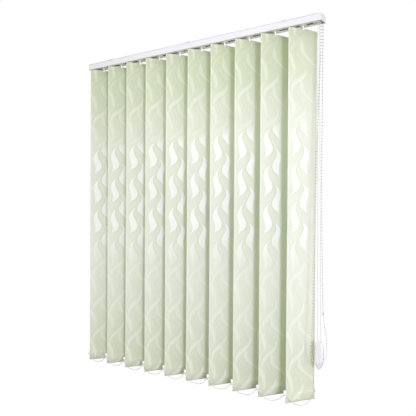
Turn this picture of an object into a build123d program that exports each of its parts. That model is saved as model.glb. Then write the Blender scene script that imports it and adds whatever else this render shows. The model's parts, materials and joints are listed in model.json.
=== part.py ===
from build123d import *
import math
import os

# Vertical blind with ten fabric slats, drawn across the window and turned part open.
# Millimetres, +Z up, +X along the headrail towards its controls, -Y into the room.
# The origin is where the middle bracket meets the ceiling.

# Slats
slat_count = 10
slat_width = 127.0
slat_drop = 1389.0
slat_angle = 58.0
fabric_thickness = 0.7
slat_gap = 10.5
top_arch = 3.5
top_pocket_height = 18.0
hanger_plate_thickness = 1.6
hanger_hole_radius = 2.2
hanger_hole_drop = 5.2
bottom_pocket_height = 31.0
pocket_taper = 3.0
hem_corner_radius = 2.0

# Bottom weights and the chains that link them
weight_thickness = 2.6
weight_end_inset = 5.0
weight_clearance = 0.3
clip_overhang = 4.2
clip_arm_height = 10.0
clip_arm_width = 8.0
peg_radius = 1.6
peg_length = 7.0
knob_width = 7.4
knob_height = 11.0
knob_thickness = 5.8
knob_corner = 2.0
chain_thickness = 1.4
chain_sag = 32.0
end_chain_sag = 42.0
end_chain_bow = 9.0
ring_radius = 3.0
ring_clearance = 0.2
ring_sides = 12
ring_lap = 0.5

# Headrail
rail_length = 1195.0
rail_end_margin = 80.0
rail_depth = 46.0
rail_height = 27.0
rail_wall = 1.4
rail_slot = 17.0
rail_corner_radius = 1.2
catch_groove_depth = 0.6
catch_groove_height = 1.2
catch_groove_drop = 2.6
catch_clearance = 0.1

# Brackets that hold the headrail under the ceiling
bracket_count = 3
bracket_spacing = 450.0
bracket_width = 18.0
bracket_thickness = 1.5
bracket_lip = 3.6
screw_hole_radius = 2.25
screw_countersink = 0.9

# End caps
control_cap_length = 14.0
idle_cap_length = 10.0
plug_length = 24.0
plug_clearance = 0.2
plug_boss_height = 4.8
cap_rear_radius = 6.0
cap_edge_radius = 1.5
cap_end_wall = 2.0

# Carriers, which run on the rail's two flanges
carrier_length = 28.0
carrier_width = 24.0
carrier_top_gap = 2.0
carrier_floor_gap = 1.0
carrier_floor = 1.6
guide_length = 20.0
guide_side_gap = 0.6
wheel_radius = 4.2
wheel_width = 4.0
wheel_side_gap = 0.3
wheel_floor_gap = 0.05
axle_radius = 1.5
channel_width = 6.6
channel_depth = 4.6

# Spacer links, which keep the carriers one pitch apart
link_width = 5.6
link_thickness = 0.3
link_levels = 5
link_level_step = 0.7
link_floor_gap = 0.5
link_past_stem = 4.0
link_root = 4.0
link_root_bite = 0.6

# Hook stems
stem_radius = 3.0
stem_clearance = 0.08
stem_head_radius = 5.0
stem_head_height = 4.0
stem_head_gap = 0.3
hook_width = 5.4
hook_prong = 1.8
hook_slot_gap = 0.4
hook_bridge = 4.6
hook_tip = 1.0
front_prong_drop = 7.2
rear_prong_drop = 10.0
hook_peg_radius = 1.6

# Tilt drive
rod_radius = 3.0
rod_y = 6.5
rod_z = -15.5
rod_groove_radius = 0.8
rod_groove_count = 3
rod_bore_clearance = 0.3
rod_end_play = 0.4
sprocket_inset = 8.0
sprocket_pitch_radius = 9.3
sprocket_hub_radius = 7.9
sprocket_flange_radius = 9.9
sprocket_flange = 1.2
sprocket_groove = 5.6
sprocket_side_gap = 0.8
sprocket_pocket_count = 5
sprocket_pocket_radius = 2.7
chamber_gap = 3.2

# Draw cord, which leaves the control cap at two points measured from its end, and its weight
draw_cord_radius = 1.0
draw_cord_y = -8.5
draw_cord_levels = (-8.5, -16.5)
cord_hole_clearance = 0.6
draw_cord_exits = ((-19.0, -6.5), (-14.5, -3.5))
cord_pulley_radius = 6.4
cord_pulley_gap = 0.2
cord_pulley_drop = 20.0
cord_weight_inset = 5.5
cord_weight_y = -1.0
cord_weight_top = -1199.0
cord_weight_height = 103.0
cord_weight_width = 33.0
cord_weight_depth = 16.0
cord_weight_shoulder = 20.0
cord_weight_flank_drop = 27.0
cord_weight_flank_height = 38.0
cord_weight_toe_radius = 5.0
cord_weight_bevel = 4.0
cord_weight_slot = 4.4
cord_weight_slot_margin = 1.6

# Bead chain and its connector, from the connector's top round to its bottom.
# Each place is measured in X from the middle of the chain wheel.
bead_cord_radius = 1.0
connector_radius = 2.6
connector_bevel = 0.8
bead_chain_rear = [
    (12.9, 6.5, -1089.0),
    (10.4, 7.6, -1010.0),
    (6.1, 10.5, -870.0),
    (-0.5, 13.6, -640.0),
    (0.0, 15.8, -330.0),
]
bead_chain_front = [
    (0.0, -3.4, -140.0),
    (-3.7, -15.5, -370.0),
    (-6.5, -24.0, -610.0),
    (-6.7, -29.5, -830.0),
    (-7.9, -33.8, -1000.0),
    (-10.3, -36.6, -1110.0),
    (-13.3, -38.2, -1185.0),
    (-14.5, -37.8, -1228.0),
    (-12.3, -35.3, -1257.0),
    (-3.0, -28.2, -1275.0),
    (12.0, -20.0, -1279.5),
    (24.0, -11.5, -1266.0),
    (30.7, -1.5, -1238.0),
    (30.5, 2.6, -1200.0),
    (23.5, 4.8, -1160.0),
    (14.1, 5.9, -1102.0),
]

# Levels and lengths worked out from the sizes above
rail_top = -bracket_thickness
rail_bottom = rail_top - rail_height
rail_middle = (rail_top + rail_bottom) / 2
rail_end = rail_length / 2
slat_pitch = (rail_length - 2 * rail_end_margin) / (slat_count - 1)
flange_top = rail_bottom + rail_wall
rail_ceiling = rail_top - rail_wall
control_plug_start = rail_end - control_cap_length - plug_length
idle_plug_start = -rail_end + idle_cap_length
sprocket_x = rail_end - sprocket_inset
cord_weight_x = rail_end - cord_weight_inset
slat_top = rail_bottom - slat_gap
slat_bottom = slat_top - top_arch - slat_drop
hem_half = weight_thickness / 2 + weight_clearance + fabric_thickness
pocket_half = hanger_plate_thickness / 2 + fabric_thickness
clip_reach = slat_width / 2 + clip_overhang
clip_arm_top = slat_bottom + bottom_pocket_height - 1.0
ring_z = clip_arm_top + 0.6 * peg_length
end_ring_z = ring_z - 2.0 * chain_thickness
carrier_top = rail_ceiling - carrier_top_gap
carrier_bottom = flange_top + carrier_floor_gap
channel_floor = carrier_top - channel_depth
stem_head_z = carrier_bottom + carrier_floor

# Directions of a slat's width and of its thickness, seen from above
along = Vector(math.cos(math.radians(slat_angle)), math.sin(math.radians(slat_angle)), 0)
across = Vector(-along.Y, along.X, 0)


def slat_x(number):
    """Where the stem of a slat hangs, from slat 1 at the idle end."""
    return (number - (slat_count + 1) / 2) * slat_pitch


def section_plane(number):
    """Plane across a slat: its x runs through the fabric, its y is up."""
    return Plane(origin=(slat_x(number), 0, 0), x_dir=across, z_dir=along)


def face_plane(number):
    """Plane of a slat's room side: its x runs along the slat's width, its y is up."""
    return Plane(origin=(slat_x(number), 0, 0), x_dir=along, z_dir=-across)


def level_plane(number, z):
    """Level plane at a slat's stem, turned with the slat."""
    return Plane(origin=(slat_x(number), 0, z), x_dir=along, z_dir=(0, 0, 1))


def keep(builder, label):
    """Names a finished piece and writes it."""
    builder.part.label = label
    export_step(builder.part, f"parts/{label}.step")


# Headrail: one extruded channel, open along the bottom
def make_headrail():
    with BuildPart() as headrail:
        with BuildSketch(Plane.YZ.offset(idle_plug_start)):
            with Locations((0, rail_middle)):
                RectangleRounded(rail_depth, rail_height, rail_corner_radius)
                Rectangle(rail_depth - 2 * rail_wall, rail_height - 2 * rail_wall, mode=Mode.SUBTRACT)
            with Locations((0, rail_bottom)):
                Rectangle(rail_slot, 3 * rail_wall, mode=Mode.SUBTRACT)
            with Locations((0, rail_top - catch_groove_drop)):
                with GridLocations(rail_depth, 0, 2, 1):
                    Rectangle(2 * catch_groove_depth, catch_groove_height, mode=Mode.SUBTRACT)
        extrude(amount=rail_length - control_cap_length - idle_cap_length)
    return headrail


# Brackets: sheet metal straps that clip over the rail's top corners
def make_brackets():
    strap_depth = rail_depth + 2 * bracket_thickness
    nib_height = catch_groove_height - 2 * catch_clearance
    with BuildPart() as brackets:
        with BuildSketch(Plane.XY):
            with GridLocations(bracket_spacing, 0, bracket_count, 1):
                Rectangle(bracket_width, strap_depth)
                Circle(screw_hole_radius, mode=Mode.SUBTRACT)
        extrude(amount=-bracket_thickness)
        hole_rims = brackets.edges().filter_by(GeomType.CIRCLE).group_by(Axis.Z)[0]
        chamfer(hole_rims, screw_countersink)
        with BuildSketch(Plane.XY):
            with GridLocations(bracket_spacing, strap_depth - bracket_thickness, bracket_count, 2):
                Rectangle(bracket_width, bracket_thickness)
        extrude(amount=-bracket_lip - bracket_thickness)
        with BuildSketch(Plane.XY.offset(rail_top - catch_groove_drop - nib_height / 2)):
            with GridLocations(bracket_spacing, rail_depth - catch_groove_depth, bracket_count, 2):
                Rectangle(bracket_width, catch_groove_depth)
        extrude(amount=nib_height)
    return brackets


def cap_outline(start):
    """Section of an end cap, rounded at its rear top corner."""
    with BuildSketch(Plane.YZ.offset(start)) as outline:
        with Locations((0, rail_middle)):
            Rectangle(rail_depth, rail_height)
        rear_top = outline.vertices().sort_by(Axis.X)[-2:].sort_by(Axis.Y)[-1]
        fillet(rear_top, cap_rear_radius)
    return outline.sketch


def plug_outline(start):
    """Section of the plug that an end cap pushes into the rail."""
    inset = rail_wall + plug_clearance
    with BuildSketch(Plane.YZ.offset(start)) as outline:
        with Locations((0, rail_middle)):
            Rectangle(rail_depth - 2 * inset, rail_height - 2 * inset)
        with Locations((0, rail_bottom)):
            Rectangle(rail_slot - 2 * plug_clearance, plug_boss_height, align=(Align.CENTER, Align.MIN))
    return outline.sketch


# Control end cap: shell with the chain wheel's chamber, open below, and the rod's bearing
def make_control_cap():
    chamber_radius = sprocket_pitch_radius + chamber_gap
    chamber_width = sprocket_groove + 2 * (sprocket_flange + sprocket_side_gap)
    with BuildPart() as control_cap:
        extrude(cap_outline(rail_end - control_cap_length), amount=control_cap_length)
        outer_face = control_cap.faces().sort_by(Axis.X)[-1]
        fillet(outer_face.edges(), cap_edge_radius)
        extrude(plug_outline(control_plug_start), amount=plug_length)
        with BuildSketch(Plane.YZ.offset(sprocket_x - chamber_width / 2)):
            with Locations((rod_y, rod_z)):
                Circle(chamber_radius)
                Rectangle(2 * chamber_radius, rail_height, align=(Align.CENTER, Align.MAX))
        extrude(amount=chamber_width, mode=Mode.SUBTRACT)
        with BuildSketch(Plane.YZ.offset(control_plug_start)):
            with Locations((rod_y, rod_z)):
                Circle(rod_radius + rod_bore_clearance)
        extrude(amount=rail_end - cap_end_wall - control_plug_start, mode=Mode.SUBTRACT)
    return control_cap


# Idle end cap: plain cap with a blind bearing for the rod
def make_idle_cap():
    with BuildPart() as idle_cap:
        extrude(cap_outline(-rail_end), amount=idle_cap_length)
        outer_face = idle_cap.faces().sort_by(Axis.X)[0]
        fillet(outer_face.edges(), cap_edge_radius)
        extrude(plug_outline(idle_plug_start), amount=plug_length)
        with BuildSketch(Plane.YZ.offset(idle_plug_start)):
            with Locations((rod_y, rod_z)):
                Circle(rod_radius + rod_bore_clearance)
        extrude(amount=plug_length, mode=Mode.SUBTRACT)
    return idle_cap


def rod_section(start):
    """Section of the tilt rod: a round bar with grooves."""
    with BuildSketch(Plane.YZ.offset(start)) as section:
        with Locations((rod_y, rod_z)):
            Circle(rod_radius)
            with PolarLocations(rod_radius, rod_groove_count):
                Circle(rod_groove_radius, mode=Mode.SUBTRACT)
    return section.sketch


# Tilt rod: grooved bar that turns every stem
def make_tilt_rod():
    rod_start = idle_plug_start + rod_end_play
    rod_end = rail_end - cap_end_wall - rod_end_play
    with BuildPart() as tilt_rod:
        extrude(rod_section(rod_start), amount=rod_end - rod_start)
    return tilt_rod


# Chain wheel: grooved wheel with pockets for the beads
def make_sprocket():
    half = sprocket_groove / 2 + sprocket_flange
    with BuildPart() as sprocket:
        with BuildSketch(Plane.YZ.offset(sprocket_x - half)):
            with Locations((rod_y, rod_z)):
                Circle(sprocket_flange_radius)
        extrude(amount=2 * half)
        with BuildSketch(Plane.YZ.offset(sprocket_x - sprocket_groove / 2)):
            with Locations((rod_y, rod_z)):
                Circle(sprocket_flange_radius + 1)
                Circle(sprocket_hub_radius, mode=Mode.SUBTRACT)
                with PolarLocations(sprocket_pitch_radius, sprocket_pocket_count):
                    Circle(sprocket_pocket_radius)
        extrude(amount=sprocket_groove, mode=Mode.SUBTRACT)
        extrude(rod_section(sprocket_x - half), amount=2 * half, mode=Mode.SUBTRACT)
    return sprocket


# Carrier: truck with two wheels, bores for the rod and cords, and a channel for the links
def make_carrier(number):
    x = slat_x(number)
    end = x + carrier_length / 2
    axle_z = flange_top + wheel_floor_gap + wheel_radius
    wheel_middle = carrier_width / 2 + wheel_side_gap + wheel_width / 2
    with BuildPart() as carrier:
        with BuildSketch(Plane.YZ.offset(x)):
            with Locations((0, carrier_bottom)):
                Rectangle(carrier_width, carrier_top - carrier_bottom, align=(Align.CENTER, Align.MIN))
            with Locations((0, channel_floor)):
                Rectangle(channel_width, channel_depth, align=(Align.CENTER, Align.MIN), mode=Mode.SUBTRACT)
            with Locations((rod_y, rod_z)):
                Circle(rod_radius + rod_bore_clearance, mode=Mode.SUBTRACT)
            with Locations(*[(draw_cord_y, level) for level in draw_cord_levels]):
                Circle(draw_cord_radius + cord_hole_clearance, mode=Mode.SUBTRACT)
        extrude(amount=carrier_length / 2, both=True)
        with BuildSketch(Plane.XY.offset(rail_bottom)):
            with Locations((x, 0)):
                Rectangle(guide_length, rail_slot - 2 * guide_side_gap)
        extrude(amount=carrier_bottom - rail_bottom)
        with BuildSketch(Plane.XZ):
            with Locations((x, axle_z)):
                Circle(axle_radius)
        extrude(amount=wheel_middle, both=True)
        for side in (-1, 1):
            with BuildSketch(Plane.XZ.offset(side * wheel_middle)):
                with Locations((x, axle_z)):
                    Circle(wheel_radius)
            extrude(amount=wheel_width / 2, both=True)
        with BuildSketch(Plane.XY.offset(rail_bottom)):
            with Locations((x, 0)):
                Circle(stem_radius + stem_clearance)
        extrude(amount=stem_head_z - rail_bottom, mode=Mode.SUBTRACT)
        with BuildSketch(Plane.XY.offset(stem_head_z)):
            with Locations((x, 0)):
                Circle(stem_head_radius + stem_head_gap)
        extrude(amount=stem_head_height + stem_head_gap, mode=Mode.SUBTRACT)
        if number > 1:
            level = (number - 2) % link_levels
            link_z = channel_floor + link_floor_gap + level * link_level_step
            link_start = slat_x(number - 1) - link_past_stem
            with BuildSketch(Plane.XY.offset(link_z)):
                with Locations((end, 0)):
                    Rectangle(end - link_start, link_width, align=(Align.MAX, Align.CENTER))
                    Rectangle(link_root, channel_width + 2 * link_root_bite, align=(Align.MAX, Align.CENTER))
            extrude(amount=link_thickness)
    return carrier


# Hook stem: turned stem that ends in a two-pronged hook round the slat's hanger
def make_stem(number):
    slot_half = pocket_half + hook_slot_gap
    outer = slot_half + hook_prong
    bridge_bottom = slat_top + hook_slot_gap
    bridge_top = bridge_bottom + hook_bridge
    peg_z = slat_top - hanger_hole_drop + hanger_hole_radius - hook_peg_radius
    with BuildPart() as stem:
        with BuildSketch(level_plane(number, bridge_top)):
            Circle(stem_radius)
        extrude(amount=stem_head_z - bridge_top)
        with BuildSketch(level_plane(number, stem_head_z)):
            Circle(stem_head_radius)
        extrude(amount=stem_head_height)
        with BuildSketch(section_plane(number)):
            with BuildLine():
                Polyline(
                    (-outer, bridge_top),
                    (outer, bridge_top),
                    (outer, slat_top - rear_prong_drop + hook_tip),
                    (slot_half, slat_top - rear_prong_drop),
                    (slot_half, bridge_bottom),
                    (-slot_half, bridge_bottom),
                    (-slot_half, slat_top - front_prong_drop),
                    (-outer, slat_top - front_prong_drop + hook_tip),
                    close=True,
                )
            make_face()
        extrude(amount=hook_width / 2, both=True)
        with BuildSketch(face_plane(number)):
            with Locations((0, peg_z)):
                Circle(hook_peg_radius)
        extrude(amount=slot_half + hook_prong / 2, both=True)
    return stem


# Slat: one strip of cloth, sewn into a pocket at each end, with the hanger plate in the top one
def make_slat(number):
    half = fabric_thickness / 2
    shoulder_z = slat_top - top_arch
    top_seam = shoulder_z - top_pocket_height
    hem_seam = slat_bottom + bottom_pocket_height
    hem_floor = slat_bottom + fabric_thickness
    with BuildPart() as slat:
        with BuildSketch(section_plane(number)):
            with BuildLine():
                right_side = Polyline(
                    (0, slat_bottom),
                    (hem_half, slat_bottom),
                    (hem_half, hem_seam),
                    (half, hem_seam + pocket_taper),
                    (half, top_seam - pocket_taper),
                    (pocket_half, top_seam),
                    (pocket_half, slat_top),
                    (0, slat_top),
                )
                mirror(right_side, about=Plane.YZ)
            make_face()
            with Locations((0, hem_floor)):
                Rectangle(
                    2 * (hem_half - fabric_thickness),
                    hem_seam - hem_floor,
                    align=(Align.CENTER, Align.MIN),
                    mode=Mode.SUBTRACT,
                )
        extrude(amount=slat_width / 2, both=True)
        with BuildSketch(face_plane(number)) as front:
            with BuildLine():
                Polyline(
                    (-slat_width / 2, shoulder_z),
                    (-slat_width / 2, slat_bottom),
                    (slat_width / 2, slat_bottom),
                    (slat_width / 2, shoulder_z),
                )
                ThreePointArc((slat_width / 2, shoulder_z), (0, slat_top), (-slat_width / 2, shoulder_z))
            make_face()
            fillet(front.vertices().group_by(Axis.Y)[0], hem_corner_radius)
            with Locations((0, slat_top - hanger_hole_drop)):
                Circle(hanger_hole_radius, mode=Mode.SUBTRACT)
        extrude(amount=2 * hem_half, both=True, mode=Mode.INTERSECT)
    return slat


# Bottom weight: plate that slides into the hem, with an arm, a peg and a knob at each end
def make_weight(number):
    plate_bottom = slat_bottom + fabric_thickness
    with BuildPart() as weight:
        with BuildSketch(face_plane(number)):
            with Locations((0, plate_bottom)):
                Rectangle(
                    slat_width - 2 * weight_end_inset,
                    clip_arm_top - plate_bottom,
                    align=(Align.CENTER, Align.MIN),
                )
            with Locations((0, clip_arm_top)):
                Rectangle(2 * clip_reach + clip_arm_width, clip_arm_height, align=(Align.CENTER, Align.MAX))
        extrude(amount=weight_thickness / 2, both=True)
        with BuildSketch(level_plane(number, clip_arm_top)):
            with GridLocations(2 * clip_reach, 0, 2, 1):
                Circle(peg_radius)
        extrude(amount=peg_length)
        with BuildSketch(face_plane(number)) as knobs:
            with Locations((0, clip_arm_top + peg_length + knob_height / 2)):
                with GridLocations(2 * clip_reach, 0, 2, 1):
                    Rectangle(knob_width, knob_height)
            chamfer(knobs.vertices(), knob_corner)
        extrude(amount=knob_thickness / 2, both=True)
    return weight


def peg_point(number, side, z):
    """A point on the axis of a slat's peg, on its room side (-1) or its window side (1)."""
    return Vector(slat_x(number), 0, z) + along * (side * clip_reach)


def add_ring(centre):
    """Adds a chain's ring, round a peg."""
    with BuildSketch(Plane.XY.offset(centre.Z - chain_thickness / 2)) as ring:
        with Locations((centre.X, centre.Y)):
            RegularPolygon(ring_radius, ring_sides)
            RegularPolygon(peg_radius + ring_clearance, ring_sides, major_radius=False, mode=Mode.SUBTRACT)
    extrude(ring.sketch, amount=chain_thickness)


def add_span(start, middle, end):
    """Adds one sagging length of chain between two rings."""
    with BuildLine() as route:
        arc = ThreePointArc(start, middle, end)
    with BuildSketch(Plane(origin=start, x_dir=(0, 0, 1), z_dir=arc % 0)) as section:
        Rectangle(chain_thickness, chain_thickness)
    sweep(section.sketch, path=route.line)


# Bottom chain: rings on every slat's pegs, joined by sagging lengths
def make_bottom_chain(side):
    reach = Vector(ring_radius - ring_lap, 0, 0)
    with BuildPart() as chain:
        for number in range(1, slat_count + 1):
            add_ring(peg_point(number, side, ring_z))
        for number in range(1, slat_count):
            start = peg_point(number, side, ring_z) + reach
            end = peg_point(number + 1, side, ring_z) - reach
            add_span(start, (start + end) / 2 - Vector(0, 0, chain_sag), end)
    return chain


# End chain: closes the two bottom chains across the room side of the last slat
def make_end_chain():
    reach = -across * ring_radius
    front_peg = peg_point(slat_count, -1, end_ring_z)
    rear_peg = peg_point(slat_count, 1, end_ring_z)
    middle = (front_peg + rear_peg) / 2 - across * end_chain_bow - Vector(0, 0, end_chain_sag)
    with BuildPart() as chain:
        add_ring(front_peg)
        add_ring(rear_peg)
        add_span(front_peg + reach, middle, rear_peg + reach)
    return chain


def bend_radii(points):
    """Largest arc that each corner of a route has room for."""
    radii = []
    for before, corner, after in zip(points, points[1:], points[2:]):
        run_in = Vector(*corner) - Vector(*before)
        run_out = Vector(*after) - Vector(*corner)
        turn = math.radians(run_in.get_angle(run_out))
        radii.append(0.45 * min(run_in.length, run_out.length) / math.tan(turn / 2))
    return radii


def make_tube(label, points, radii, tube_radius):
    """Round cord along straight runs joined by tangent arcs."""
    with BuildPart() as tube:
        with BuildLine():
            route = FilletPolyline(*points, radius=radii)
        with BuildSketch(Plane(origin=route @ 0, z_dir=route % 0)):
            Circle(tube_radius)
        sweep()
    length = route.length
    share = tube.part.volume / (math.pi * tube_radius**2 * length)
    print(f"{label}: length {length:.1f} mm, volume share {share:.4f}")
    print(f"{label}: bend radii {', '.join(f'{radius:.1f}' for radius in radii)} mm")
    return tube


# Draw cord: hangs from the control cap, round the pulley in the cord weight, and back up
def make_draw_cord():
    loop_z = cord_weight_top - cord_pulley_drop - cord_pulley_radius
    exits = [(rail_end + x, y, rail_bottom) for x, y in draw_cord_exits]
    loop = [(cord_weight_x + side * cord_pulley_radius, cord_weight_y, loop_z) for side in (-1, 1)]
    route = [exits[0], *loop, exits[1]]
    bend = cord_pulley_radius - 0.1
    return make_tube("draw_cord", route, [bend, bend], draw_cord_radius)


# Draw cord inside the rail: two strands that pass through every carrier
def make_inner_cord():
    start = idle_plug_start + plug_length
    with BuildPart() as cord:
        with BuildSketch(Plane.YZ.offset(start)):
            with Locations(*[(draw_cord_y, level) for level in draw_cord_levels]):
                Circle(draw_cord_radius)
        extrude(amount=control_plug_start - start)
    return cord


# Bead chain: over the chain wheel, down the room side, round the cord weight and up again
def make_bead_chain():
    wheel_top = rod_z + sprocket_pitch_radius
    over_wheel = [(0, rod_y + side * sprocket_pitch_radius, wheel_top) for side in (1, -1)]
    route = [(sprocket_x + x, y, z) for x, y, z in bead_chain_rear + over_wheel + bead_chain_front]
    radii = bend_radii(route)
    first_wheel_bend = len(bead_chain_rear) - 1
    for bend in (first_wheel_bend, first_wheel_bend + 1):
        radii[bend] = sprocket_pitch_radius - 0.1
    return make_tube("bead_chain", route, radii, bead_cord_radius)


# Connector: small barrel that joins the two ends of the bead chain
def make_connector():
    top = Vector(*bead_chain_rear[0]) + Vector(sprocket_x, 0, 0)
    bottom = Vector(*bead_chain_front[-1]) + Vector(sprocket_x, 0, 0)
    with BuildPart() as connector:
        with BuildSketch(Plane(origin=bottom, z_dir=top - bottom)):
            Circle(connector_radius)
        extrude(amount=(top - bottom).length)
        chamfer(connector.edges().filter_by(GeomType.CIRCLE), connector_bevel)
    return connector


# Cord weight: bevelled drop with a pulley inside its open top
def make_cord_weight():
    face = Plane(origin=(cord_weight_x, cord_weight_y, 0), x_dir=(1, 0, 0), z_dir=(0, -1, 0))
    bottom = cord_weight_top - cord_weight_height
    pulley_z = cord_weight_top - cord_pulley_drop
    half = cord_weight_width / 2
    flank_top = cord_weight_top - cord_weight_flank_drop
    flank_bottom = flank_top - cord_weight_flank_height
    slot_half = cord_pulley_radius + cord_weight_slot_margin
    with BuildPart() as cord_weight:
        with BuildSketch(face) as outline:
            with BuildLine():
                flank = Line((half, flank_top), (half, flank_bottom))
                brow = TangentArc(flank @ 0, (cord_weight_shoulder / 2, cord_weight_top), tangent=(0, 1))
                toe = TangentArc(flank @ 1, (0, bottom), tangent=flank % 1)
                Polyline(toe @ 1, (0, cord_weight_top), brow @ 1)
            make_face()
            mirror(about=Plane.YZ)
            fillet(outline.vertices().group_by(Axis.Y)[0], cord_weight_toe_radius)
        extrude(amount=cord_weight_depth / 2, both=True)
        chamfer(cord_weight.faces().filter_by(Axis.Y).edges(), cord_weight_bevel)
        with BuildSketch(face):
            with Locations((0, pulley_z - slot_half)):
                Rectangle(2 * slot_half, cord_pulley_drop + slot_half, align=(Align.CENTER, Align.MIN))
        extrude(amount=cord_weight_slot / 2, both=True, mode=Mode.SUBTRACT)
        with BuildSketch(face):
            with Locations((0, pulley_z)):
                Circle(cord_pulley_radius - draw_cord_radius - cord_pulley_gap)
        extrude(amount=cord_weight_slot / 2, both=True)
    return cord_weight


os.makedirs("parts", exist_ok=True)
keep(make_headrail(), "headrail")
keep(make_brackets(), "mounting_brackets")
keep(make_control_cap(), "control_end_cap")
keep(make_idle_cap(), "idle_end_cap")
keep(make_tilt_rod(), "tilt_rod")
keep(make_sprocket(), "chain_wheel")
for number in range(1, slat_count + 1):
    keep(make_carrier(number), f"carrier_{number:02d}")
    keep(make_stem(number), f"hook_stem_{number:02d}")
    keep(make_slat(number), f"slat_{number:02d}")
    keep(make_weight(number), f"slat_weight_{number:02d}")
keep(make_bottom_chain(-1), "bottom_chain_room_side")
keep(make_bottom_chain(1), "bottom_chain_window_side")
keep(make_end_chain(), "bottom_chain_end")
keep(make_draw_cord(), "draw_cord")
keep(make_inner_cord(), "draw_cord_in_rail")
keep(make_bead_chain(), "bead_chain")
keep(make_connector(), "chain_connector")
keep(make_cord_weight(), "cord_weight")
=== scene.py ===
import bpy, bmesh, json, math, random
from mathutils import Matrix, Vector


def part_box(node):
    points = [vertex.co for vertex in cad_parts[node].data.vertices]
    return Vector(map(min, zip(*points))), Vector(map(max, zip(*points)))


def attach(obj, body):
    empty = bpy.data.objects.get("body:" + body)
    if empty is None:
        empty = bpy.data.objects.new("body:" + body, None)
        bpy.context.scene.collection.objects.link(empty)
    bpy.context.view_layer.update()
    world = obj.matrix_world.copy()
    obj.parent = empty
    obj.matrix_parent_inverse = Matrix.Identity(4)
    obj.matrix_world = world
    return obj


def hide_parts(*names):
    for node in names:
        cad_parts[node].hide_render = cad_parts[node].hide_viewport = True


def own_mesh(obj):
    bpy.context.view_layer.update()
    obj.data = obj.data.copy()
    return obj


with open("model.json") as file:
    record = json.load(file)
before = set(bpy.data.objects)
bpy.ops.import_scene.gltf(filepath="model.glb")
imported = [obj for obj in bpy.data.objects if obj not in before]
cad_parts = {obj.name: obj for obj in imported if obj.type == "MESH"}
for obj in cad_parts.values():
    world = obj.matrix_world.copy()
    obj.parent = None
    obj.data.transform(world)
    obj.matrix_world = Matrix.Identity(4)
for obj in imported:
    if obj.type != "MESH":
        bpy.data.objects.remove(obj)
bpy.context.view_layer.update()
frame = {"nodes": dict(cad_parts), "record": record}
nodes = frame["nodes"]
scene = bpy.context.scene

# Slats, in metres, with z 0 at the ceiling. At rest ALONG runs along a slat's width, and ACROSS through its
# cloth towards the window
SLATS = 10
PITCH = 0.115
WIDTH = 0.127
ANGLE = math.radians(58.0)
ALONG = Vector((math.cos(ANGLE), math.sin(ANGLE), 0))
ACROSS = Vector((-ALONG.y, ALONG.x, 0))
TOP_Z = -0.039
BOTTOM_Z = -1.4315
ARCH = 0.0035
CLOTH = 0.0005
TOP_POCKET = 0.018
SEAM_Z = TOP_Z - ARCH - TOP_POCKET
HEM = 0.031
HEM_TOP = BOTTOM_Z + HEM
POCKET_BULGE = 0.00115
HEM_BULGE = 0.0019
EDGE_INSET = 0.0003
SETTLE = 0.15
RIPPLE = 0.0005
COLUMNS = 14
ROWS = 56
SEED = 40
PLATE_HALF_WIDTH = 0.0600
PLATE_HALF_THICKNESS = 0.0007

# Chains and cords
CLIP_REACH = 0.0677
RING_Z = HEM_TOP + 0.0032
END_RING_Z = RING_Z - 0.0028
RING_RADIUS = 0.0024
RING_WIRE = 0.00055
RING_HALF_HEIGHT = 0.0007
RING_OUTWARD = 0.0035
PAST_RING = 0.001
PAST_END_RING = 0.003
CHAIN_SAG = 0.032
END_CHAIN_SAG = 0.042
END_CHAIN_BOW = 0.009
LINK_PITCH = 0.0054
LINK_RADIUS = 0.0019
LINK_THREAD = 0.00045
BEAD_PITCH = 0.0117
BEAD_RADIUS = 0.0025
BEAD_THREAD = 0.0007
CORD_RADIUS = 0.001

# Colours of the cloth
GROUND_OUTER = (0.635, 0.680, 0.535)
GROUND_MIDDLE = (0.790, 0.810, 0.755)
RIBBON_OUTER = (0.800, 0.825, 0.750)
RIBBON_MIDDLE = (0.850, 0.870, 0.825)
FLAME_WHITE = (0.915, 0.930, 0.920)
OLIVE = (0.550, 0.620, 0.410)
SEEN_THROUGH = (0.620, 0.800, 0.380)
THROUGH = 0.30

# Light
WORLD_COLOUR = (1.0, 0.985, 0.93)
WORLD_STRENGTH = 1.16
KEY_COLOUR = (0.84, 0.74, 1.0)
KEY_POWER = 425.0
RAIL_COLOUR = (1.0, 0.97, 0.88)
RAIL_POWER = 200.0
LAMP_RADIUS = 0.30
FLOOR_Z = -2.0
FLOOR_REACH = 9


def slat_x(number):
    return (number - (SLATS + 1) / 2) * PITCH


def limited(value):
    return max(0.0, min(1.0, value))


# Shader maths

class Value:
    """A socket of a node tree that takes part in ordinary expressions."""

    def __init__(self, tree, socket):
        self.tree = tree
        self.socket = socket

    def math(self, operation, *others):
        node = self.tree.add("ShaderNodeMath", operation=operation)
        for index, value in enumerate((self, *others)):
            self.tree.feed(node.inputs[index], value)
        return self.tree.value(node)

    def __add__(self, other):
        return self.math("ADD", other)

    def __radd__(self, other):
        return self.math("ADD", other)

    def __sub__(self, other):
        return self.math("SUBTRACT", other)

    def __rsub__(self, other):
        return -self + other

    def __neg__(self):
        return self.math("MULTIPLY", -1.0)

    def __mul__(self, other):
        return self.math("MULTIPLY", other)

    def __rmul__(self, other):
        return self.math("MULTIPLY", other)

    def __truediv__(self, other):
        return self.math("DIVIDE", other)

    def __abs__(self):
        return self.math("ABSOLUTE")

    def sine(self):
        return self.math("SINE")

    def fraction(self):
        return self.math("FRACT")

    def step(self, low, high):
        """Smooth step from 0 at low to 1 at high."""
        sockets = {"Value": self, "From Min": low, "From Max": high}
        return self.tree.value(self.tree.add("ShaderNodeMapRange", sockets, interpolation_type="SMOOTHSTEP"))


def highest(value, *others):
    """The highest of several values."""
    for other in others:
        value = value.math("MAXIMUM", other)
    return value


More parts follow.
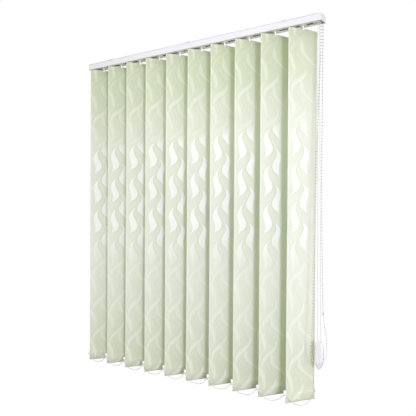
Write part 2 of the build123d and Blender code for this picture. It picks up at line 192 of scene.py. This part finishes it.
class Tree:
    """Node tree of a new material or world, built by expressions."""

    def __init__(self, owner, output="ShaderNodeOutputMaterial"):
        owner.use_nodes = True
        self.owner = owner
        self.nodes = owner.node_tree.nodes
        self.links = owner.node_tree.links
        self.nodes.clear()
        self.output = self.nodes.new(output)

    def add(self, kind, sockets=None, **settings):
        node = self.nodes.new(kind)
        for key, value in settings.items():
            setattr(node, key, value)
        for key, value in (sockets or {}).items():
            self.feed(node.inputs[key], value)
        return node

    def feed(self, socket, value):
        if isinstance(value, Value):
            self.links.new(value.socket, socket)
        elif hasattr(value, "node"):
            self.links.new(value, socket)
        else:
            socket.default_value = value

    def value(self, node, output=0):
        return Value(self, node.outputs[output])

    def parts(self, socket, count=3):
        """The first parts of a vector."""
        node = self.add("ShaderNodeSeparateXYZ", {0: socket})
        return [self.value(node, i) for i in range(count)]

    def coordinates(self, kind):
        return self.add("ShaderNodeTexCoord").outputs[kind]

    def position(self):
        """Object coordinates, in metres."""
        return self.parts(self.coordinates("Object"))

    def cloth_place(self):
        """Place on a piece of cloth: across it and up it, in metres."""
        return self.parts(self.add("ShaderNodeUVMap", uv_map="cloth").outputs[0], 2)

    def noise(self, scale, detail=2.0):
        sockets = {"Scale": scale, "Detail": detail, "Vector": self.coordinates("Object")}
        return self.value(self.add("ShaderNodeTexNoise", sockets))

    def curve(self, value, points):
        """Smooth curve through given points, from 0 to 1 along the value."""
        node = self.add("ShaderNodeFloatCurve", {"Value": value})
        line = node.mapping.curves[0]
        line.points[0].location = (0.0, points[0][1])
        line.points[1].location = (1.0, points[-1][1])
        for place, height in points:
            line.points.new(place, height)
        node.mapping.update()
        return self.value(node)

    def mix(self, factor, first, second):
        sockets = {"Factor": factor, "A": first, "B": second}
        return self.value(self.add("ShaderNodeMix", sockets, data_type="RGBA"), "Result")

    def bump(self, height, strength):
        sockets = {"Height": height, "Strength": strength, "Distance": 0.0002}
        return self.add("ShaderNodeBump", sockets).outputs[0]

    def principled(self, **sockets):
        named = {key.replace("_", " ").title(): value for key, value in sockets.items()}
        return self.add("ShaderNodeBsdfPrincipled", named)

    def blend(self, factor, first, second):
        """Mix of two shaders; the factor is the second one's share."""
        return self.add("ShaderNodeMixShader", {0: factor, 1: first.outputs[0], 2: second.outputs[0]})

    def camera_ray(self):
        return self.add("ShaderNodeLightPath").outputs["Is Camera Ray"]

    def finish(self, shader):
        self.links.new(shader.outputs[0], self.output.inputs["Surface"])
        return self.owner


def material_tree(name):
    return Tree(bpy.data.materials.new(name))


def rgb(r, g, b):
    return (r, g, b, 1.0)


# Materials

def painted_rail():
    """White paint, greyer along the rail's upper edge as painted shade and lighter inside as painted light.
    """
    tree = material_tree("painted rail")
    y, z = tree.position()[1:]
    wear = tree.noise(7.0, 4.0).step(0.35, 0.75)
    tint = tree.mix(wear, rgb(0.650, 0.665, 0.710), rgb(0.630, 0.645, 0.690))
    # Painted shade: greyer paint along the rail's upper edge
    tint = tree.mix(z.step(-0.0052, -0.0036), tint, rgb(0.54, 0.54, 0.57))
    # Painted light: lighter paint inside the rail, lifting the shade in its hollow
    inside = abs(y).step(0.0215, 0.0200) * (-z).step(0.0040, 0.0050)
    tint = tree.mix(inside, tint, rgb(0.92, 0.91, 0.88))
    return tree.finish(tree.principled(
        base_color=tint, roughness=0.34 + 0.10 * wear, normal=tree.bump(tree.noise(900.0, 3.0), 0.05),
        coat_weight=0.2, coat_roughness=0.2))


def drawn_bar():
    tree = material_tree("drawn aluminium bar")
    streak = tree.noise(400.0)
    return tree.finish(tree.principled(
        base_color=rgb(0.74, 0.75, 0.77), metallic=1.0, roughness=0.25 + 0.15 * streak))


def moulding(tree, tint, roughness):
    """Moulded plastic with a fine grain and a faint haze."""
    return tree.finish(tree.principled(
        base_color=tint, roughness=roughness + 0.08 * tree.noise(30.0, 3.0),
        normal=tree.bump(tree.noise(1400.0), 0.03)))


def white_moulding():
    """White plastic in two tones as painted light and shade: greyer on the end caps and the cord's weight
    than on the hooks and bottom weights.
    """
    tree = material_tree("white moulding")
    z = tree.position()[2]
    end_caps = z.step(-0.0305, -0.0290)
    cord_weight = z.step(-1.370, -1.365) * (-z).step(1.100, 1.105)
    # Painted light and shade on one white plastic: paler on the hooks and bottom weights, greyer on the end
    # caps and the cord's weight
    greyer = highest(end_caps, cord_weight)
    return moulding(tree, tree.mix(greyer, rgb(0.90, 0.90, 0.895), rgb(0.650, 0.650, 0.668)), 0.32)


def chain_beads():
    """White beads with painted shade that turns them olive grey towards their undersides."""
    tree = material_tree("chain beads")
    x, y, z = tree.parts(tree.coordinates("Normal"))
    # Painted shade: darker towards the beads' undersides, their +x sides and their -y sides, by their normals
    painted_shade = (x * 0.35 - y * 0.10 - z).step(-0.50, 0.25)
    bottom_chains = tree.position()[2].step(-1.360, -1.365)
    painted_shade = painted_shade * (bottom_chains * 0.20 + 0.80)
    tint = tree.mix(painted_shade, rgb(0.95, 0.95, 0.94), rgb(0.17, 0.19, 0.11))
    return tree.finish(tree.principled(base_color=tint, roughness=0.42))


def braided_cord():
    tree = material_tree("braided cord")
    x, y, z = tree.position()
    twill = (z * 2600.0 + (x + y) * 1500.0).sine() * 0.5 + 0.5
    tint = tree.mix(twill, rgb(0.44, 0.45, 0.42), rgb(0.62, 0.63, 0.60))
    return tree.finish(tree.principled(base_color=tint, roughness=0.75, normal=tree.bump(twill, 0.4)))


# Woven flames, from listed points. Each row is a place along one period and the flame's left and right
# sides there, as shares of the slat's width. The pattern repeats every FLAME_PERIOD, in metres, and lies
# FLAME_STEP further along on each slat than on the one before; the STARTs are shares of a period
FLAME_PERIOD = 0.1447
FLAME_STEP = 0.0026
FLAME_HEIGHT = 0.5536
PERIODS_ABOVE = 20.0
PATTERN_RIGHT = 0.0025
LOWER_FLAMES_UP = 0.022
RIGHT_START = 0.522
RIBBON_START = 0.54
LEAF_START = 0.13
BAND_START = 0.810
LEFT_FLAME = [
    (0.0, 0.374, 0.374), (0.05, 0.300, 0.335), (0.10, 0.235, 0.303), (0.21, 0.165, 0.294),
    (0.32, 0.146, 0.339), (0.45, 0.172, 0.420), (0.54, 0.200, 0.452), (0.63, 0.224, 0.431),
    (0.71, 0.213, 0.362), (0.76, 0.195, 0.260), (0.815, 0.167, 0.167),
]
RIGHT_FLAME = [
    (0.0, 0.546, 0.546), (0.073, 0.585, 0.655), (0.165, 0.606, 0.729), (0.275, 0.565, 0.741),
    (0.366, 0.500, 0.718), (0.458, 0.452, 0.686), (0.568, 0.462, 0.672), (0.66, 0.548, 0.677),
    (0.73, 0.650, 0.692), (0.765, 0.695, 0.695),
]
RIBBON = [
    (0.0, 0.600, 0.600), (0.05, 0.590, 0.635), (0.10, 0.585, 0.650), (0.17, 0.534, 0.633),
    (0.25, 0.420, 0.580), (0.343, 0.271, 0.477), (0.425, 0.183, 0.351), (0.517, 0.133, 0.225),
    (0.645, 0.122, 0.163), (0.72, 0.125, 0.125),
]
BAND = [
    (0.0, 0.475, 0.475), (0.08, 0.445, 0.500), (0.14, 0.428, 0.535), (0.20, 0.418, 0.550),
    (0.27, 0.420, 0.565), (0.34, 0.450, 0.600), (0.42, 0.545, 0.680), (0.50, 0.660, 0.790),
    (0.57, 0.775, 0.880), (0.63, 0.870, 0.945), (0.70, 0.970, 0.970),
]
LEAF = [
    (0.0, 0.0, 0.0), (0.10, 0.030, 0.110), (0.19, 0.064, 0.190), (0.30, 0.110, 0.236),
    (0.41, 0.144, 0.264), (0.50, 0.179, 0.270), (0.58, 0.190, 0.248), (0.635, 0.212, 0.212),
]
# Thin lines, as (place along one period, place across)
TAIL_LINE = [(0.02, 0.500), (0.11, 0.385), (0.187, 0.270), (0.26, 0.167), (0.37, 0.087), (0.50, 0.041)]
SHOULDER_LINE = [(0.02, 0.317), (0.157, 0.408), (0.286, 0.523), (0.377, 0.592)]
MIDDLE_LINE = [(0.28, 0.345), (0.33, 0.357), (0.46, 0.400), (0.59, 0.516), (0.70, 0.597)]
EDGE_LINE = [(0.44, 0.500), (0.52, 0.560), (0.60, 0.650), (0.68, 0.780), (0.76, 0.930)]


def flame_sides(tree, along, rows):
    """Left and right sides of a flame; outside its length they cross, so nothing shows."""
    past = 0.03
    place, left_end, right_end = rows[-1]
    left = [(row[0], row[1]) for row in rows] + [(place + past, left_end + past)]
    right = [(row[0], row[2]) for row in rows] + [(place + past, right_end - past)]
    return tree.curve(along, left), tree.curve(along, right)


def between(across, sides, soft=0.010):
    """1 between two sides, 0 outside them."""
    left, right = sides
    return (across - left).step(-soft, soft) * (right - across).step(-soft, soft)


def beside(across, side, offset, sides):
    """Line along one side of a flame, at an offset from it, where the flame has some breadth."""
    left, right = sides
    return (-abs(across - side - offset)).step(-0.018, -0.004) * (right - left).step(0.0, 0.06)


def thin_line(tree, across, along, points, half=0.014):
    """Thin woven line, only as long as its points."""
    centre = tree.curve(along, points)
    start, end, fade_in = points[0][0], points[-1][0], 0.05
    inside = along.step(start, start + fade_in) * (-along).step(-end, fade_in - end)
    return (-abs(across - centre)).step(-half, -0.3 * half) * inside


def patterned_cloth():
    """Pale green cloth with woven flames, white at mid height and fading to pale ribbons above and below."""
    tree = material_tree("slat cloth")
    place, up = tree.cloth_place()
    down = -up
    height = tree.position()[2]
    across = (place + PATTERN_RIGHT) / WIDTH
    shifted = up + down.step(1.02, 1.16) * LOWER_FLAMES_UP
    turns = (-shifted - FLAME_HEIGHT + PERIODS_ABOVE * FLAME_PERIOD) / FLAME_PERIOD

    # Place along each flame's period
    along = turns.fraction()
    along_right, along_ribbon, along_leaf, along_band = (
        (turns + (1.0 - start)).fraction() for start in (RIGHT_START, RIBBON_START, LEAF_START, BAND_START))

    # Where the flames are white, where the ground is pale, and where the ribbons are filled in
    vivid = down.step(0.375, 0.430) * up.step(-0.99, -0.80)
    fade = 1.0 - vivid
    pale_ground = down.step(0.06, 0.46) * up.step(-1.62, -0.92)
    filled = down.step(0.15, 0.24)

    left_flame = flame_sides(tree, along, LEFT_FLAME)
    right_flame = flame_sides(tree, along_right, RIGHT_FLAME)
    ribbon = flame_sides(tree, along_ribbon, RIBBON)
    leaf = flame_sides(tree, along_leaf, LEAF)
    band = flame_sides(tree, along_band, BAND)
    white = highest(between(across, left_flame), between(across, right_flame)) * vivid
    pale = highest(
        between(across, ribbon, 0.011) * (fade * 0.80 + 0.12) * (filled * 0.85 + 0.15),
        beside(across, ribbon[0], 0.0, ribbon) * (1.0 - filled) * 0.75,
        between(across, leaf, 0.012) * (fade * 0.45 + 0.35),
        between(across, band, 0.012) * fade * 0.75,
        thin_line(tree, across, along_ribbon, TAIL_LINE) * (fade * 0.75 + 0.10),
        thin_line(tree, across, along_leaf, SHOULDER_LINE) * (fade * 0.65),
        thin_line(tree, across, along_band, MIDDLE_LINE) * 0.65,
        thin_line(tree, across, along_band, EDGE_LINE) * (fade * 0.22 + 0.08))
    outline = highest(
        beside(across, left_flame[1], 0.030, left_flame),
        beside(across, right_flame[0], -0.030, right_flame),
        beside(across, left_flame[0], -0.030, left_flame) * 0.7)

    ground = tree.mix(pale_ground, rgb(*GROUND_OUTER), rgb(*GROUND_MIDDLE))
    light = tree.mix(pale_ground, rgb(*RIBBON_OUTER), rgb(*RIBBON_MIDDLE))
    tint = tree.mix(outline * (vivid * 0.27 + 0.20), ground, rgb(*OLIVE))
    tint = tree.mix(pale, tint, light)
    tint = tree.mix(white, tint, rgb(*FLAME_WHITE))
    selvedge = abs(place - WIDTH / 2).step(0.0597, 0.0616)
    tint = tree.mix(selvedge * 0.55, tint, rgb(*FLAME_WHITE))
    seam = (-abs(height - SEAM_Z)).step(-0.0022, -0.0008)
    tint = tree.mix(seam * 0.25, tint, rgb(*OLIVE))
    # Painted shade: olive along the hem's bottom edge
    painted_hem_shade = (-height).step(-BOTTOM_Z - 0.006, -BOTTOM_Z - 0.003)
    tint = tree.mix(painted_hem_shade * 0.55, tint, rgb(*OLIVE))
    cloud = tree.noise(24.0, 3.0).step(0.35, 0.70)
    tint = tree.mix(cloud * 0.10, tint, rgb(*OLIVE))

    weave = (place * 9000.0).sine() * (up * 9000.0).sine()
    slub = tree.noise(60.0, 3.0)
    front = tree.principled(
        base_color=tint, roughness=0.72 + 0.12 * slub - 0.12 * white, sheen_weight=0.08,
        normal=tree.bump(weave * 0.3 + slub + white * 0.6, 0.25))
    glow = tree.mix(white * 0.6, rgb(*SEEN_THROUGH), rgb(*FLAME_WHITE))
    return tree.finish(tree.blend(THROUGH, front, tree.add("ShaderNodeBsdfTranslucent", {"Color": glow})))


def pale_floor():
    """White to the camera, and a matte greenish grey to everything else."""
    tree = material_tree("pale floor")
    matte = tree.add("ShaderNodeBsdfDiffuse", {"Color": rgb(0.30, 0.31, 0.23)})
    glow = tree.add("ShaderNodeEmission", {"Color": rgb(1, 1, 1), "Strength": 1.0})
    return tree.finish(tree.blend(tree.camera_ray(), matte, glow))


finishes = {
    "white_metal": painted_rail(),
    "bare_aluminium": drawn_bar(),
    "white_plastic": white_moulding(),
    "carrier_plastic": moulding(material_tree("carrier moulding"), rgb(0.88, 0.87, 0.84), 0.45),
    "chain_plastic": chain_beads(),
    "cord_white": braided_cord(),
    "slat_fabric": patterned_cloth(),
}
for part in frame["record"]["subparts"]:
    mesh = nodes[part["node"]].data
    mesh.materials.clear()
    mesh.materials.append(finishes[part["material_slot"]])


def mesh_of(bm, name):
    """Mesh made of what a bmesh holds."""
    mesh = bpy.data.meshes.new(name)
    bm.to_mesh(mesh)
    bm.free()
    return mesh


def placed(name, data):
    """New object in the scene."""
    thing = bpy.data.objects.new(name, data)
    scene.collection.objects.link(thing)
    return thing


def new_piece(name, mesh, slot):
    thing = placed(name, mesh)
    mesh.materials.append(finishes[slot])
    return thing


# Cloth slats

def slat_profile():
    """Line of the cloth seen edge on, from the back of the top pocket round to the back of the hem."""
    pocket, hem = POCKET_BULGE, HEM_BULGE
    upper, lower = SEAM_Z - 0.004, HEM_TOP + 0.004
    points = [
        (pocket, SEAM_Z + 0.0005), (pocket, SEAM_Z + 0.009), (pocket, TOP_Z - 0.0035),
        (pocket * 0.8, TOP_Z - 0.0008), (0.0, TOP_Z - 0.0002), (-pocket * 0.8, TOP_Z - 0.0008),
        (-pocket, TOP_Z - 0.0035), (-pocket, SEAM_Z + 0.009), (-pocket, SEAM_Z + 0.0015),
        (-0.0006, SEAM_Z - 0.0008), (0.0, upper),
    ]
    points += [(0.0, upper + (lower - upper) * row / ROWS) for row in range(1, ROWS + 1)]
    points += [
        (-0.0010, HEM_TOP + 0.0012), (-hem, HEM_TOP - 0.0015), (-hem, BOTTOM_Z + 0.015),
        (-hem, BOTTOM_Z + 0.0018), (-hem * 0.6, BOTTOM_Z + 0.0005), (0.0, BOTTOM_Z + 0.0003),
        (hem * 0.6, BOTTOM_Z + 0.0005), (hem, BOTTOM_Z + 0.0018), (hem, BOTTOM_Z + 0.015),
        (hem, HEM_TOP - 0.0015),
    ]
    return points


def make_slat(number):
    """One slat's cloth, with a slight bow and wave of its own, and the hanger plate in its top pocket."""
    rng = random.Random(SEED + number)
    centre = Vector((slat_x(number), 0, 0))
    profile = slat_profile()
    bow = rng.uniform(-0.0012, 0.0012)
    drift = rng.uniform(-0.0010, 0.0010)
    phase = rng.uniform(0, 6.28)
    shift = (4.8 - number) * FLAME_STEP + rng.uniform(-0.0010, 0.0010)
    bm = bmesh.new()
    layer = bm.loops.layers.uv.new("cloth")
    grid = []
    for v, z in profile:
        line = []
        for column in range(COLUMNS + 1):
            a = column / COLUMNS * 2 - 1
            u = a * (WIDTH / 2 - EDGE_INSET)
            drop = ARCH * a * a * limited((z - SEAM_Z) / (TOP_Z - SEAM_Z))
            free = limited((SEAM_Z - z) / SETTLE) * limited((z - BOTTOM_Z - HEM) / SETTLE)
            wave = bow * (1 - a * a) + drift * math.sin(z * 5.1 + phase)
            wave += RIPPLE * a * math.sin(z * 9.0 - phase)
            place = centre + ALONG * u + ACROSS * (v + free * wave) + Vector((0, 0, z - drop))
            line.append((bm.verts.new(place), u, z - drop))
        grid.append(line)
    for upper, lower in zip(grid, grid[1:]):
        for c in range(COLUMNS):
            corners = [upper[c], lower[c], lower[c + 1], upper[c + 1]]
            face = bm.faces.new([corner[0] for corner in corners])
            face.smooth = True
            for loop, corner in zip(face.loops, corners):
                loop[layer].uv = (corner[1] + WIDTH / 2, corner[2] + shift)
    slat = new_piece(f"slat_cloth_{number:02d}", mesh_of(bm, f"cloth_{number:02d}"), "slat_fabric")
    solid = slat.modifiers.new("thickness", "SOLIDIFY")
    solid.thickness = CLOTH
    solid.offset = 0.0
    body = f"slat_body_{number:02d}"
    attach(slat, body)
    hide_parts(f"slat_{number:02d}")
    plate = make_hanger_plate(number, centre)
    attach(plate, body)


def make_hanger_plate(number, centre):
    """Flat plate with a peak under the hook."""
    half = PLATE_HALF_WIDTH
    foot, shoulder, peak = SEAM_Z + 0.002, TOP_Z - ARCH - 0.0025, TOP_Z - 0.002
    outline = ((-half, foot), (half, foot), (half, shoulder), (0.0, peak), (-half, shoulder))
    bm = bmesh.new()
    front, back = (
        [bm.verts.new(centre + ALONG * u + ACROSS * v + Vector((0, 0, z))) for u, z in outline]
        for v in (-PLATE_HALF_THICKNESS, PLATE_HALF_THICKNESS))
    bm.faces.new(front)
    bm.faces.new(back[::-1])
    for i in range(len(outline)):
        j = (i + 1) % len(outline)
        bm.faces.new([front[j], front[i], back[i], back[j]])
    return new_piece(f"hanger_plate_{number:02d}", mesh_of(bm, "hanger_plate"), "white_plastic")


# Tools for cords and chains

def smooth_line(name, points, radius):
    """Smooth spline along given points. Each carries the cord's radius, by which the box grows."""
    curve = bpy.data.curves.new(name, "CURVE")
    curve.dimensions = "3D"
    curve.resolution_u = 10
    curve.bevel_resolution = 3
    line = curve.splines.new("NURBS")
    line.points.add(len(points) - 1)
    for point, place in zip(line.points, points):
        point.co = (*place, 1.0)
        point.radius = radius
    line.order_u = 3
    line.use_endpoint_u = True
    return placed(name, curve)


def cord_curve(name, points, radius, slot):
    """Cord along given points, in metres."""
    thing = smooth_line(name, points, radius)
    thing.data.bevel_depth = 1.0
    thing.data.materials.append(finishes[slot])
    return thing


def route_of(cord):
    """Points that a cord's curve really passes, read with its thickness off."""
    depth = cord.data.bevel_depth
    cord.data.bevel_depth = 0.0
    bpy.context.view_layer.update()
    line = bpy.data.meshes.new_from_object(cord)
    points = [cord.matrix_world @ vert.co for vert in line.vertices]
    bpy.data.meshes.remove(line)
    cord.data.bevel_depth = depth
    return points


def spaced(points, pitch):
    """Places one pitch apart along a line of points, from half a pitch in, each with the line's direction."""
    places = []
    due = pitch / 2
    done = 0.0
    for a, b in zip(points, points[1:]):
        run = (b - a).length
        while run > 0 and due <= done + run:
            places.append((a.lerp(b, (due - done) / run), (b - a).normalized()))
            due += pitch
        done += run
    return places


def line_length(points):
    return sum((b - a).length for a, b in zip(points, points[1:]))


def on_circle(k, count, radius=1.0):
    """The k-th of several places round a circle."""
    turn = 2 * math.pi * k / count
    return Vector((radius * math.cos(turn), radius * math.sin(turn), 0))


class Soup:
    """Vertices and faces gathered for one mesh made of many small pieces."""

    def __init__(self):
        self.verts = []
        self.faces = []

    def add(self, verts, faces):
        base = len(self.verts)
        self.verts.extend(verts)
        self.faces.extend([tuple(base + i for i in face) for face in faces])

    def bead(self, place, direction, radius, segments=14, rings=9):
        """Bead turned along its thread."""
        turn = direction.to_track_quat("Z", "Y")
        verts = [place + turn @ Vector((0, 0, -radius))]
        for r in range(1, rings):
            t = math.pi * r / rings
            height = Vector((0, 0, -radius * math.cos(t)))
            for k in range(segments):
                verts.append(place + turn @ (on_circle(k, segments, radius * math.sin(t)) + height))
        verts.append(place + turn @ Vector((0, 0, radius)))
        last = len(verts) - 1
        top = last - segments
        faces = [(0, 1 + (k + 1) % segments, 1 + k) for k in range(segments)]
        faces += self.tube_faces(1, segments, rings - 2)
        faces += [(top + k, top + (k + 1) % segments, last) for k in range(segments)]
        self.add(verts, faces)

    @staticmethod
    def tube_faces(first, sides, lengths):
        """Sides of a tube whose rings of vertices follow each other."""
        faces = []
        for r in range(lengths):
            a, b = first + r * sides, first + (r + 1) * sides
            faces += [(a + k, a + (k + 1) % sides, b + (k + 1) % sides, b + k) for k in range(sides)]
        return faces

    def thread(self, points, radius, sides=6):
        """Thin thread along a line of points."""
        verts = []
        for index, place in enumerate(points):
            ahead = points[min(index + 1, len(points) - 1)] - points[max(index - 1, 0)]
            turn = ahead.to_track_quat("Z", "Y")
            verts += [place + turn @ on_circle(k, sides, radius) for k in range(sides)]
        faces = [tuple(range(sides))[::-1], tuple(range(len(verts) - sides, len(verts)))]
        self.add(verts, faces + self.tube_faces(0, sides, len(points) - 1))

    def hoop(self, centre, turns=16, sides=6):
        """Ring of a chain, round a peg."""
        verts = []
        for k in range(turns):
            out = on_circle(k, turns)
            for m in range(sides):
                s = 2 * math.pi * m / sides
                rise = Vector((0, 0, RING_HALF_HEIGHT * math.sin(s)))
                verts.append(centre + out * (RING_RADIUS + RING_WIRE * math.cos(s)) + rise)
        faces = []
        for k in range(turns):
            a, b = k * sides, (k + 1) % turns * sides
            faces += [(a + m, b + m, b + (m + 1) % sides, a + (m + 1) % sides) for m in range(sides)]
        self.add(verts, faces)

    def object(self, name, slot):
        mesh = bpy.data.meshes.new(name)
        mesh.from_pydata(self.verts, [], self.faces)
        mesh.shade_smooth()
        return new_piece(name, mesh, slot)


# Cords and bead chain at the control end

def make_draw_cord():
    """Two strands from the end cap and the turn that joins them inside the cord weight."""
    top, foot = (0.5785, -0.0065, -0.0285), (0.5856, -0.001, -1.2254)
    next_foot, next_top = (0.5984, -0.001, -1.2254), (0.583, -0.0035, -0.0285)

    def just_above(low, high):
        low, high = Vector(low), Vector(high)
        return tuple(low.lerp(high, 0.008 / (high - low).length))

    points = [top, just_above(foot, top), foot, next_foot, just_above(next_foot, next_top), next_top]
    cord = cord_curve("draw_cord_braid", points, CORD_RADIUS, "cord_white")
    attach(cord, "headrail_body")
    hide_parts("draw_cord")
    line_length(route_of(cord))


def make_rail_cords():
    """The draw cord's two strands along the rail, one above the other."""
    low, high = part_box("draw_cord_in_rail")
    y = -0.0085
    for index, z in enumerate((-0.0085, -0.0165)):
        points = [(low.x, y, z), ((low.x + high.x) / 2, y, z), (high.x, y, z)]
        strand = cord_curve(f"rail_cord_{index + 1}", points, CORD_RADIUS, "cord_white")
        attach(strand, "headrail_body")
        if index == 0:
            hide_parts("draw_cord_in_rail")


# Control points of the bead chain, in millimetres
BEAD_ROUTE = [
    (602.4, 6.5, -1089.0), (599.9, 7.6, -1010.0), (595.6, 10.5, -870.0), (589.0, 13.6, -640.0),
    (589.5, 15.8, -330.0), (589.5, 15.8, -40.0), (589.5, 15.8, -6.2), (589.5, -2.8, -6.2),
    (589.5, -3.0, -40.0), (589.5, -3.4, -140.0), (585.8, -15.5, -370.0), (583.0, -24.0, -610.0),
    (582.8, -29.5, -830.0), (581.6, -33.8, -1000.0), (579.2, -36.6, -1110.0), (576.2, -38.2, -1185.0),
    (575.0, -37.8, -1228.0), (577.2, -35.3, -1257.0), (586.5, -28.2, -1275.0), (601.5, -20.0, -1279.5),
    (613.5, -11.5, -1266.0), (620.2, -1.5, -1238.0), (620.0, 2.6, -1200.0), (613.0, 4.8, -1160.0),
    (603.6, 5.9, -1102.0),
]


def make_bead_chain():
    """Bead chain from its connector, up over the chain wheel and down round its low bend."""
    points = [tuple(c / 1000 for c in point) for point in BEAD_ROUTE]
    thread = cord_curve("bead_thread", points, BEAD_THREAD, "chain_plastic")
    route = route_of(thread)
    length = line_length(route)
    chain = Soup()
    for place, direction in spaced(route, length / int(length / BEAD_PITCH)):
        chain.bead(place, direction, BEAD_RADIUS)
    beads = chain.object("bead_chain_beads", "chain_plastic")
    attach(thread, "headrail_body")
    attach(beads, "headrail_body")
    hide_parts("bead_chain")


# Bottom chains

def peg(number, side, z):
    """Axis of a slat's peg, at a height; side -1 is the room's, 1 the window's."""
    return Vector((slat_x(number), 0, z)) + ALONG * (side * CLIP_REACH)


def sagging(start, end, drop):
    """Control points of one hanging length, with both inner ones at its full drop."""
    return [start, start.lerp(end, 0.25) + drop, start.lerp(end, 0.75) + drop, end]


def hang_chain(node, body, links, points):
    """Thread of a bottom chain, along one smooth spline, and its small beads; both ride on one body."""
    guide = smooth_line(f"{node}_guide", points, LINK_THREAD)
    route = route_of(guide)
    bpy.data.curves.remove(guide.data)
    for place, direction in spaced(route, LINK_PITCH):
        links.bead(place, direction, LINK_RADIUS, 8, 6)
    strand = Soup()
    strand.thread(route, LINK_THREAD)
    thread = strand.object(f"{node}_thread", "chain_plastic")
    beads = links.object(f"{node}_links", "chain_plastic")
    for piece in (thread, beads):
        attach(piece, body)
    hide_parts(node)
    return thread, beads


def make_rings(number):
    """The two rings round a slat's pegs, which turn and travel with the slat."""
    rings = Soup()
    for side in (-1, 1):
        rings.hoop(peg(number, side, RING_Z))
    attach(rings.object(f"chain_rings_{number:02d}", "chain_plastic"), f"slat_body_{number:02d}")


def make_bottom_chain(side, node, body):
    """Chain that hangs from the outer side of each ring, clear of the hems when the slats close."""
    outward = Vector((0, side * RING_OUTWARD, 0))
    past_ring = Vector((PAST_RING, 0, 0))
    drop = Vector((0, 0, -CHAIN_SAG))
    points = []
    for number in range(1, SLATS):
        start = peg(number, side, RING_Z) + outward
        end = peg(number + 1, side, RING_Z) + outward
        points += sagging(start + past_ring, end - past_ring, drop)
    for piece in hang_chain(node, body, Soup(), points):
        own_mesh(piece)


def make_end_chain():
    """Chain in front of the last slat, from one of its pegs to the other, with its own two rings."""
    front, rear = peg(SLATS, -1, END_RING_Z), peg(SLATS, 1, END_RING_Z)
    links = Soup()
    links.hoop(front)
    links.hoop(rear)
    reach = ACROSS * -PAST_END_RING
    drop = ACROSS * -END_CHAIN_BOW - Vector((0, 0, END_CHAIN_SAG))
    hang_chain("bottom_chain_end", "slat_body_10", links, sagging(front + reach, rear + reach, drop))


for number in range(1, SLATS + 1):
    make_slat(number)
    make_rings(number)
make_draw_cord()
make_rail_cords()
make_bead_chain()
make_bottom_chain(-1, "bottom_chain_room_side", "room_side_chain")
make_bottom_chain(1, "bottom_chain_window_side", "window_side_chain")
make_end_chain()


# Stage and light

def make_floor():
    bm = bmesh.new()
    corners = ((-1, -1), (1, -1), (1, 1), (-1, 1))
    bm.faces.new([bm.verts.new((x * FLOOR_REACH, y * FLOOR_REACH, FLOOR_Z)) for x, y in corners])
    floor = placed("floor", mesh_of(bm, "floor"))
    floor.data.materials.append(pale_floor())


def make_world():
    """Pale studio, brighter from the room's side and dimmer overhead; white to the camera."""
    tree = Tree(bpy.data.worlds.new("studio"), "ShaderNodeOutputWorld")
    x, y, z = tree.parts(tree.coordinates("Generated"))
    facing = x * 0.561 - y * 0.828
    strength = (facing * 0.42 + 1.0) * (1.0 - z * z * 0.30) * WORLD_STRENGTH
    cast = tree.add("ShaderNodeBackground", {"Color": rgb(*WORLD_COLOUR), "Strength": strength})
    seen = tree.add("ShaderNodeBackground", {"Color": rgb(1, 1, 1), "Strength": 1.0})
    scene.world = tree.finish(tree.blend(tree.camera_ray(), cast, seen))


def make_lamp(name, place, target, power, color, spread, softness):
    """Round lamp with soft shadows, aimed at a target; the spread is in degrees."""
    data = bpy.data.lights.new(name, "SPOT")
    data.shadow_soft_size = LAMP_RADIUS
    data.spot_size = math.radians(spread)
    data.spot_blend = softness
    data.energy = power
    data.color = color
    place, target = Vector(place), Vector(target)
    lamp = placed(name, data)
    lamp.location = place
    lamp.rotation_euler = (target - place).to_track_quat("-Z", "Y").to_euler()


def make_camera():
    """Camera of the photo, as fitted to the slats and the headrail."""
    data = bpy.data.cameras.new("camera")
    data.sensor_width = 36.0
    data.lens = 45.43
    data.shift_y = 0.0373
    data.clip_end = 60.0
    place = Vector((1.330, -1.822, -0.746))
    yaw, pitch, roll = 0.5957, 0.0109, 0.0062
    ahead = Vector((-math.sin(yaw) * math.cos(pitch), math.cos(yaw) * math.cos(pitch), -math.sin(pitch)))
    level = Vector((math.cos(yaw), math.sin(yaw), 0))
    right = level * math.cos(roll) + level.cross(ahead) * math.sin(roll)
    above = right.cross(ahead)
    camera = placed("camera", data)
    camera.matrix_world = Matrix((
        (right.x, above.x, -ahead.x, place.x),
        (right.y, above.y, -ahead.y, place.y),
        (right.z, above.z, -ahead.z, place.z),
        (0, 0, 0, 1),
    ))
    scene.camera = camera


make_floor()
make_world()
# Key to the right of the camera, which shades each slat's far edge by the next one
make_lamp("key", (2.9, -2.95, -0.55), (0.30, 0.0, -1.10), KEY_POWER, KEY_COLOUR, 56.0, 1.0)
# Low lamp that reaches up under the headrail, as a bright floor would
make_lamp("rail lamp", (1.6, -4.3, -1.85), (0.08, 0.0, -0.02), RAIL_POWER, RAIL_COLOUR, 16.0, 0.7)
make_camera()
scene.view_settings.view_transform = "Standard"
